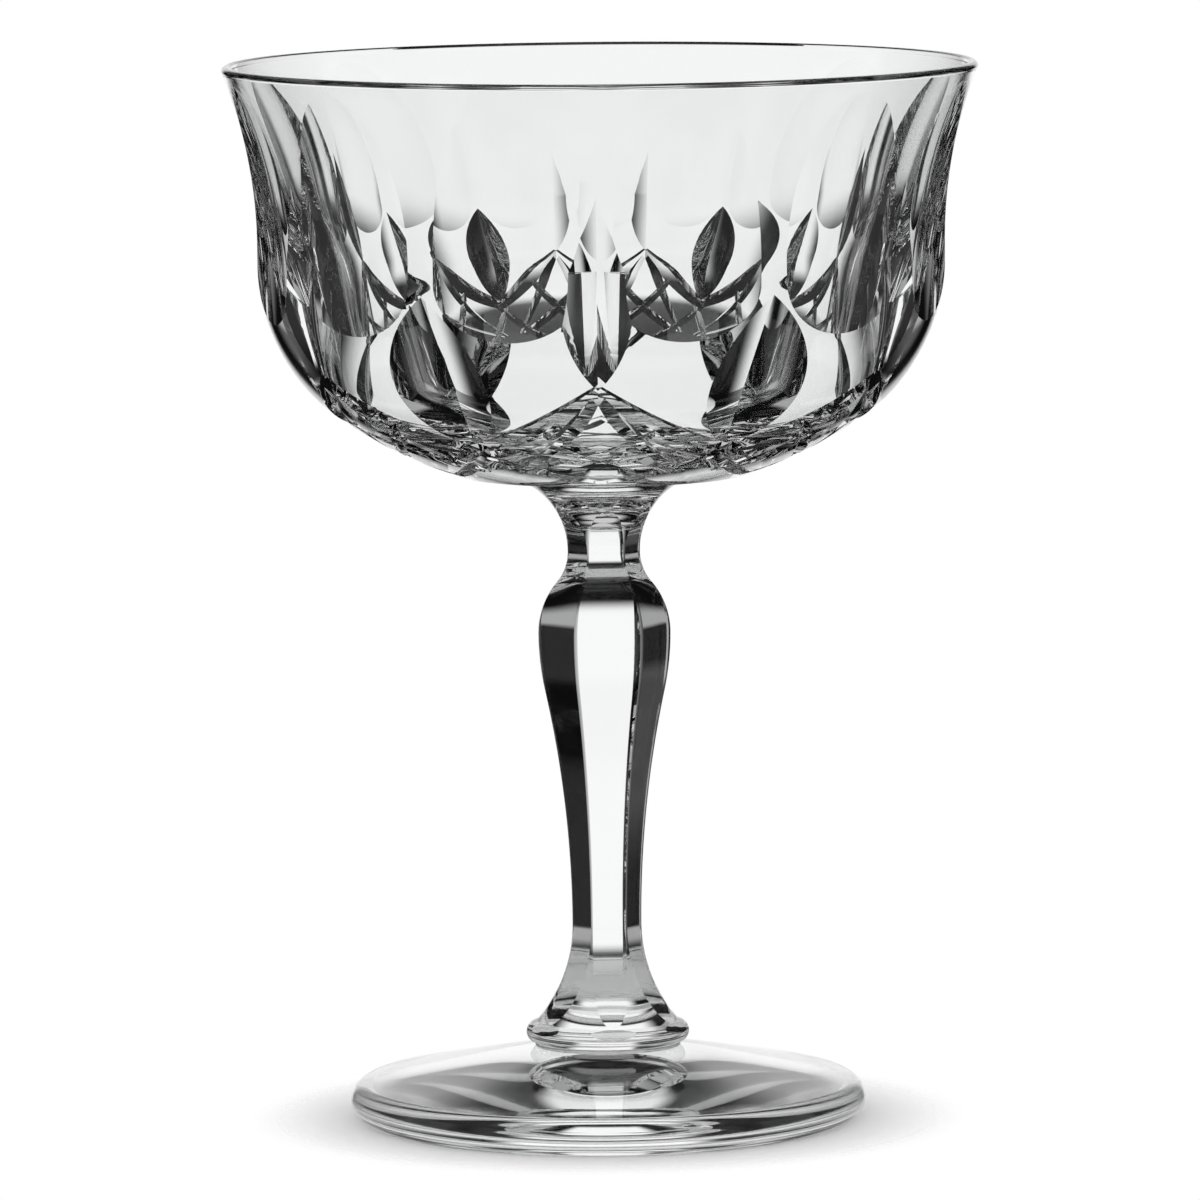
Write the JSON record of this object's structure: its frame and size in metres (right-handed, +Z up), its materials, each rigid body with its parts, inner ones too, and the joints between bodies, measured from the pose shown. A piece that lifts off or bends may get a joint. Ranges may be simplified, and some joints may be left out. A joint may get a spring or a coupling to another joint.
{
  "type": "coupe glass",
  "caption": "Footed coupe glass for sparkling wine or cocktails, with a wide shallow cut bowl, a faceted baluster stem and a round foot.",
  "frame": {"origin": "centre of the flat ring under the foot, on the surface that the glass stands on", "axes": "+Z up along the glass's axis of turning; the front of the picture, with the middle of a leaf-shaped cut, faces -Y; the glass stands upright"},
  "size_m": [0.1, 0.1, 0.1408],
  "materials": {
    "bowl": "clear, polished, with cut panels and mitres",
    "stem": "clear, polished, with cut flats",
    "foot": "clear, fire-polished"
  },
  "bodies": {
    "root": {"bowl": "bowl", "stem": "stem", "foot": "foot"}
  },
  "joints": []
}
